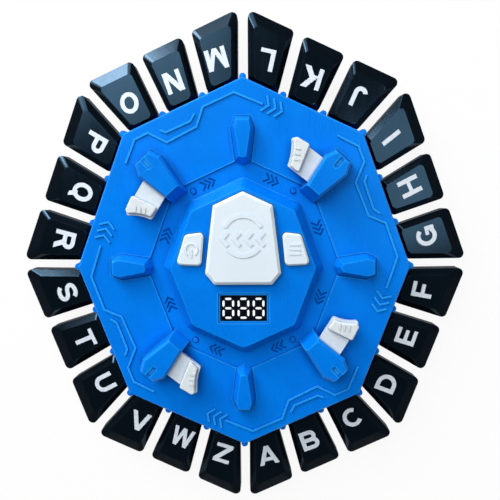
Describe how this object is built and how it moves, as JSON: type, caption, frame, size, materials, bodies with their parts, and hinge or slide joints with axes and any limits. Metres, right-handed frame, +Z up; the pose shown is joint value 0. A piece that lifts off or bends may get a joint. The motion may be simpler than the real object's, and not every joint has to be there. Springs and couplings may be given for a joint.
{
  "type": "electronic word game",
  "caption": "Eight-sided tabletop game console with letter keys hinged round its rim, thumb paddles, hub buttons and a small digit display.",
  "frame": {"origin": "middle of the plan, on the table under the rubber feet", "axes": "+Z up, +Y away from the display towards the large button's peak, +X to the right"},
  "size_m": [0.258, 0.287, 0.0434],
  "materials": {
    "blue_shell": "satin moulded",
    "blue_base": "fine texture",
    "key_black": "gloss moulded",
    "white_plastic": "satin moulded",
    "display_black": "matte",
    "segment_white": "diffuser",
    "lens_blue": "clear tinted",
    "lamp_white": "lamp body",
    "board_green": "solder mask",
    "silicone": "moulded silicone",
    "steel": "plated",
    "foot_rubber": "matte",
    "switch_black": "moulded",
    "speaker_black": "painted",
    "cell_wrap": "printed wrap"
  },
  "bodies": {
    "console": {"top_shell": "blue_shell", "hub_cover": "blue_shell", "paddle_towers": "blue_shell", "corner_fins": "blue_shell", "bottom_shell": "blue_base", "battery_door": "blue_base", "battery_door_screw": "steel", "shell_screws": "steel", "rubber_feet": "foot_rubber", "key_pivot_rods": "steel", "key_dome_strips": "silicone", "key_contact_board": "board_green", "main_board": "board_green", "board_screws": "steel", "button_dome_pad": "silicone", "display_module": "display_black", "display_segments": "segment_white", "indicator_lenses": "lens_blue", "indicator_lamps": "lamp_white", "paddle_pins": "steel", "paddle_switches": "switch_black", "speaker": "speaker_black", "battery_cells": "cell_wrap", "battery_springs": "steel", "battery_contacts": "steel"},
    "key_g": {"key_g": "key_black"},
    "key_h": {"key_h": "key_black"},
    "key_i": {"key_i": "key_black"},
    "key_j": {"key_j": "key_black"},
    "key_k": {"key_k": "key_black"},
    "key_l": {"key_l": "key_black"},
    "key_m": {"key_m": "key_black"},
    "key_n": {"key_n": "key_black"},
    "key_o": {"key_o": "key_black"},
    "key_p": {"key_p": "key_black"},
    "key_q": {"key_q": "key_black"},
    "key_r": {"key_r": "key_black"},
    "key_s": {"key_s": "key_black"},
    "key_t": {"key_t": "key_black"},
    "key_u": {"key_u": "key_black"},
    "key_v": {"key_v": "key_black"},
    "key_w": {"key_w": "key_black"},
    "key_z": {"key_z": "key_black"},
    "key_a": {"key_a": "key_black"},
    "key_b": {"key_b": "key_black"},
    "key_c": {"key_c": "key_black"},
    "key_d": {"key_d": "key_black"},
    "key_e": {"key_e": "key_black"},
    "key_f": {"key_f": "key_black"},
    "paddle_north_east": {"paddle_north_east": "white_plastic"},
    "paddle_north_west": {"paddle_north_west": "white_plastic"},
    "paddle_south_west": {"paddle_south_west": "white_plastic"},
    "paddle_south_east": {"paddle_south_east": "white_plastic"},
    "pass_button": {"pass_button": "white_plastic"},
    "power_button": {"power_button": "white_plastic"},
    "level_button": {"level_button": "white_plastic"}
  },
  "joints": [
    {"name": "key_g_hinge", "type": "hinge", "parent": "console", "child": "key_g", "pos_m": [0.06609, 0.03191, 0.019], "axis": [-0.348, 0.9375, 0], "range_deg": [0, 7], "stiffness_Nm_per_rad": 0.12, "springref_deg": -8.59, "deforming": ["key_dome_strips"]},
    {"name": "key_h_hinge", "type": "hinge", "parent": "console", "child": "key_h", "pos_m": [0.06609, 0.03191, 0.019], "axis": [-0.348, 0.9375, 0], "range_deg": [0, 7], "stiffness_Nm_per_rad": 0.12, "springref_deg": -8.59, "deforming": ["key_dome_strips"]},
    {"name": "key_i_hinge", "type": "hinge", "parent": "console", "child": "key_i", "pos_m": [0.06609, 0.03191, 0.019], "axis": [-0.348, 0.9375, 0], "range_deg": [0, 7], "stiffness_Nm_per_rad": 0.12, "springref_deg": -8.59, "deforming": ["key_dome_strips"]},
    {"name": "key_j_hinge", "type": "hinge", "parent": "console", "child": "key_j", "pos_m": [0.02687, 0.07595, 0.019], "axis": [-0.9077, 0.4195, 0], "range_deg": [0, 7], "stiffness_Nm_per_rad": 0.12, "springref_deg": -8.59, "deforming": ["key_dome_strips"]},
    {"name": "key_k_hinge", "type": "hinge", "parent": "console", "child": "key_k", "pos_m": [0.02687, 0.07595, 0.019], "axis": [-0.9077, 0.4195, 0], "range_deg": [0, 7], "stiffness_Nm_per_rad": 0.12, "springref_deg": -8.59, "deforming": ["key_dome_strips"]},
    {"name": "key_l_hinge", "type": "hinge", "parent": "console", "child": "key_l", "pos_m": [0.02687, 0.07595, 0.019], "axis": [-0.9077, 0.4195, 0], "range_deg": [0, 7], "stiffness_Nm_per_rad": 0.12, "springref_deg": -8.59, "deforming": ["key_dome_strips"]},
    {"name": "key_m_hinge", "type": "hinge", "parent": "console", "child": "key_m", "pos_m": [-0.02687, 0.07595, 0.019], "axis": [-0.9077, -0.4195, 0], "range_deg": [0, 7], "stiffness_Nm_per_rad": 0.12, "springref_deg": -8.59, "deforming": ["key_dome_strips"]},
    {"name": "key_n_hinge", "type": "hinge", "parent": "console", "child": "key_n", "pos_m": [-0.02687, 0.07595, 0.019], "axis": [-0.9077, -0.4195, 0], "range_deg": [0, 7], "stiffness_Nm_per_rad": 0.12, "springref_deg": -8.59, "deforming": ["key_dome_strips"]},
    {"name": "key_o_hinge", "type": "hinge", "parent": "console", "child": "key_o", "pos_m": [-0.02687, 0.07595, 0.019], "axis": [-0.9077, -0.4195, 0], "range_deg": [0, 7], "stiffness_Nm_per_rad": 0.12, "springref_deg": -8.59, "deforming": ["key_dome_strips"]},
    {"name": "key_p_hinge", "type": "hinge", "parent": "console", "child": "key_p", "pos_m": [-0.06609, 0.03191, 0.019], "axis": [-0.348, -0.9375, 0], "range_deg": [0, 7], "stiffness_Nm_per_rad": 0.12, "springref_deg": -8.59, "deforming": ["key_dome_strips"]},
    {"name": "key_q_hinge", "type": "hinge", "parent": "console", "child": "key_q", "pos_m": [-0.06609, 0.03191, 0.019], "axis": [-0.348, -0.9375, 0], "range_deg": [0, 7], "stiffness_Nm_per_rad": 0.12, "springref_deg": -8.59, "deforming": ["key_dome_strips"]},
    {"name": "key_r_hinge", "type": "hinge", "parent": "console", "child": "key_r", "pos_m": [-0.06609, 0.03191, 0.019], "axis": [-0.348, -0.9375, 0], "range_deg": [0, 7], "stiffness_Nm_per_rad": 0.12, "springref_deg": -8.59, "deforming": ["key_dome_strips"]},
    {"name": "key_s_hinge", "type": "hinge", "parent": "console", "child": "key_s", "pos_m": [-0.06609, -0.03191, 0.019], "axis": [0.348, -0.9375, 0], "range_deg": [0, 7], "stiffness_Nm_per_rad": 0.12, "springref_deg": -8.59, "deforming": ["key_dome_strips"]},
    {"name": "key_t_hinge", "type": "hinge", "parent": "console", "child": "key_t", "pos_m": [-0.06609, -0.03191, 0.019], "axis": [0.348, -0.9375, 0], "range_deg": [0, 7], "stiffness_Nm_per_rad": 0.12, "springref_deg": -8.59, "deforming": ["key_dome_strips"]},
    {"name": "key_u_hinge", "type": "hinge", "parent": "console", "child": "key_u", "pos_m": [-0.06609, -0.03191, 0.019], "axis": [0.348, -0.9375, 0], "range_deg": [0, 7], "stiffness_Nm_per_rad": 0.12, "springref_deg": -8.59, "deforming": ["key_dome_strips"]},
    {"name": "key_v_hinge", "type": "hinge", "parent": "console", "child": "key_v", "pos_m": [-0.02687, -0.07595, 0.019], "axis": [0.9077, -0.4195, 0], "range_deg": [0, 7], "stiffness_Nm_per_rad": 0.12, "springref_deg": -8.59, "deforming": ["key_dome_strips"]},
    {"name": "key_w_hinge", "type": "hinge", "parent": "console", "child": "key_w", "pos_m": [-0.02687, -0.07595, 0.019], "axis": [0.9077, -0.4195, 0], "range_deg": [0, 7], "stiffness_Nm_per_rad": 0.12, "springref_deg": -8.59, "deforming": ["key_dome_strips"]},
    {"name": "key_z_hinge", "type": "hinge", "parent": "console", "child": "key_z", "pos_m": [-0.02687, -0.07595, 0.019], "axis": [0.9077, -0.4195, 0], "range_deg": [0, 7], "stiffness_Nm_per_rad": 0.12, "springref_deg": -8.59, "deforming": ["key_dome_strips"]},
    {"name": "key_a_hinge", "type": "hinge", "parent": "console", "child": "key_a", "pos_m": [0.02687, -0.07595, 0.019], "axis": [0.9077, 0.4195, 0], "range_deg": [0, 7], "stiffness_Nm_per_rad": 0.12, "springref_deg": -8.59, "deforming": ["key_dome_strips"]},
    {"name": "key_b_hinge", "type": "hinge", "parent": "console", "child": "key_b", "pos_m": [0.02687, -0.07595, 0.019], "axis": [0.9077, 0.4195, 0], "range_deg": [0, 7], "stiffness_Nm_per_rad": 0.12, "springref_deg": -8.59, "deforming": ["key_dome_strips"]},
    {"name": "key_c_hinge", "type": "hinge", "parent": "console", "child": "key_c", "pos_m": [0.02687, -0.07595, 0.019], "axis": [0.9077, 0.4195, 0], "range_deg": [0, 7], "stiffness_Nm_per_rad": 0.12, "springref_deg": -8.59, "deforming": ["key_dome_strips"]},
    {"name": "key_d_hinge", "type": "hinge", "parent": "console", "child": "key_d", "pos_m": [0.06609, -0.03191, 0.019], "axis": [0.348, 0.9375, 0], "range_deg": [0, 7], "stiffness_Nm_per_rad": 0.12, "springref_deg": -8.59, "deforming": ["key_dome_strips"]},
    {"name": "key_e_hinge", "type": "hinge", "parent": "console", "child": "key_e", "pos_m": [0.06609, -0.03191, 0.019], "axis": [0.348, 0.9375, 0], "range_deg": [0, 7], "stiffness_Nm_per_rad": 0.12, "springref_deg": -8.59, "deforming": ["key_dome_strips"]},
    {"name": "key_f_hinge", "type": "hinge", "parent": "console", "child": "key_f", "pos_m": [0.06609, -0.03191, 0.019], "axis": [0.348, 0.9375, 0], "range_deg": [0, 7], "stiffness_Nm_per_rad": 0.12, "springref_deg": -8.59, "deforming": ["key_dome_strips"]},
    {"name": "paddle_north_east_hinge", "type": "hinge", "parent": "console", "child": "paddle_north_east", "pos_m": [0.04485, 0.05004, 0.0362], "axis": [-0.6674, -0.7447, 0], "range_deg": [0, 6], "stiffness_Nm_per_rad": 0.08, "springref_deg": -6.88},
    {"name": "paddle_north_west_hinge", "type": "hinge", "parent": "console", "child": "paddle_north_west", "pos_m": [-0.04485, 0.05004, 0.0362], "axis": [0.6674, -0.7447, 0], "range_deg": [0, 6], "stiffness_Nm_per_rad": 0.08, "springref_deg": -6.88},
    {"name": "paddle_south_west_hinge", "type": "hinge", "parent": "console", "child": "paddle_south_west", "pos_m": [-0.04485, -0.05004, 0.0362], "axis": [0.6674, 0.7447, 0], "range_deg": [0, 6], "stiffness_Nm_per_rad": 0.08, "springref_deg": -6.88},
    {"name": "paddle_south_east_hinge", "type": "hinge", "parent": "console", "child": "paddle_south_east", "pos_m": [0.04485, -0.05004, 0.0362], "axis": [-0.6674, 0.7447, 0], "range_deg": [0, 6], "stiffness_Nm_per_rad": 0.08, "springref_deg": -6.88},
    {"name": "pass_button_press", "type": "slide", "parent": "console", "child": "pass_button", "axis": [0, 0, -1], "range_m": [0, 0.0016], "stiffness_N_per_m": 500, "springref_m": -0.0012, "deforming": ["button_dome_pad"]},
    {"name": "power_button_press", "type": "slide", "parent": "console", "child": "power_button", "axis": [0, 0, -1], "range_m": [0, 0.0012], "stiffness_N_per_m": 200, "springref_m": -0.0012, "deforming": ["button_dome_pad"]},
    {"name": "level_button_press", "type": "slide", "parent": "console", "child": "level_button", "axis": [0, 0, -1], "range_m": [0, 0.0012], "stiffness_N_per_m": 200, "springref_m": -0.0012, "deforming": ["button_dome_pad"]}
  ]
}
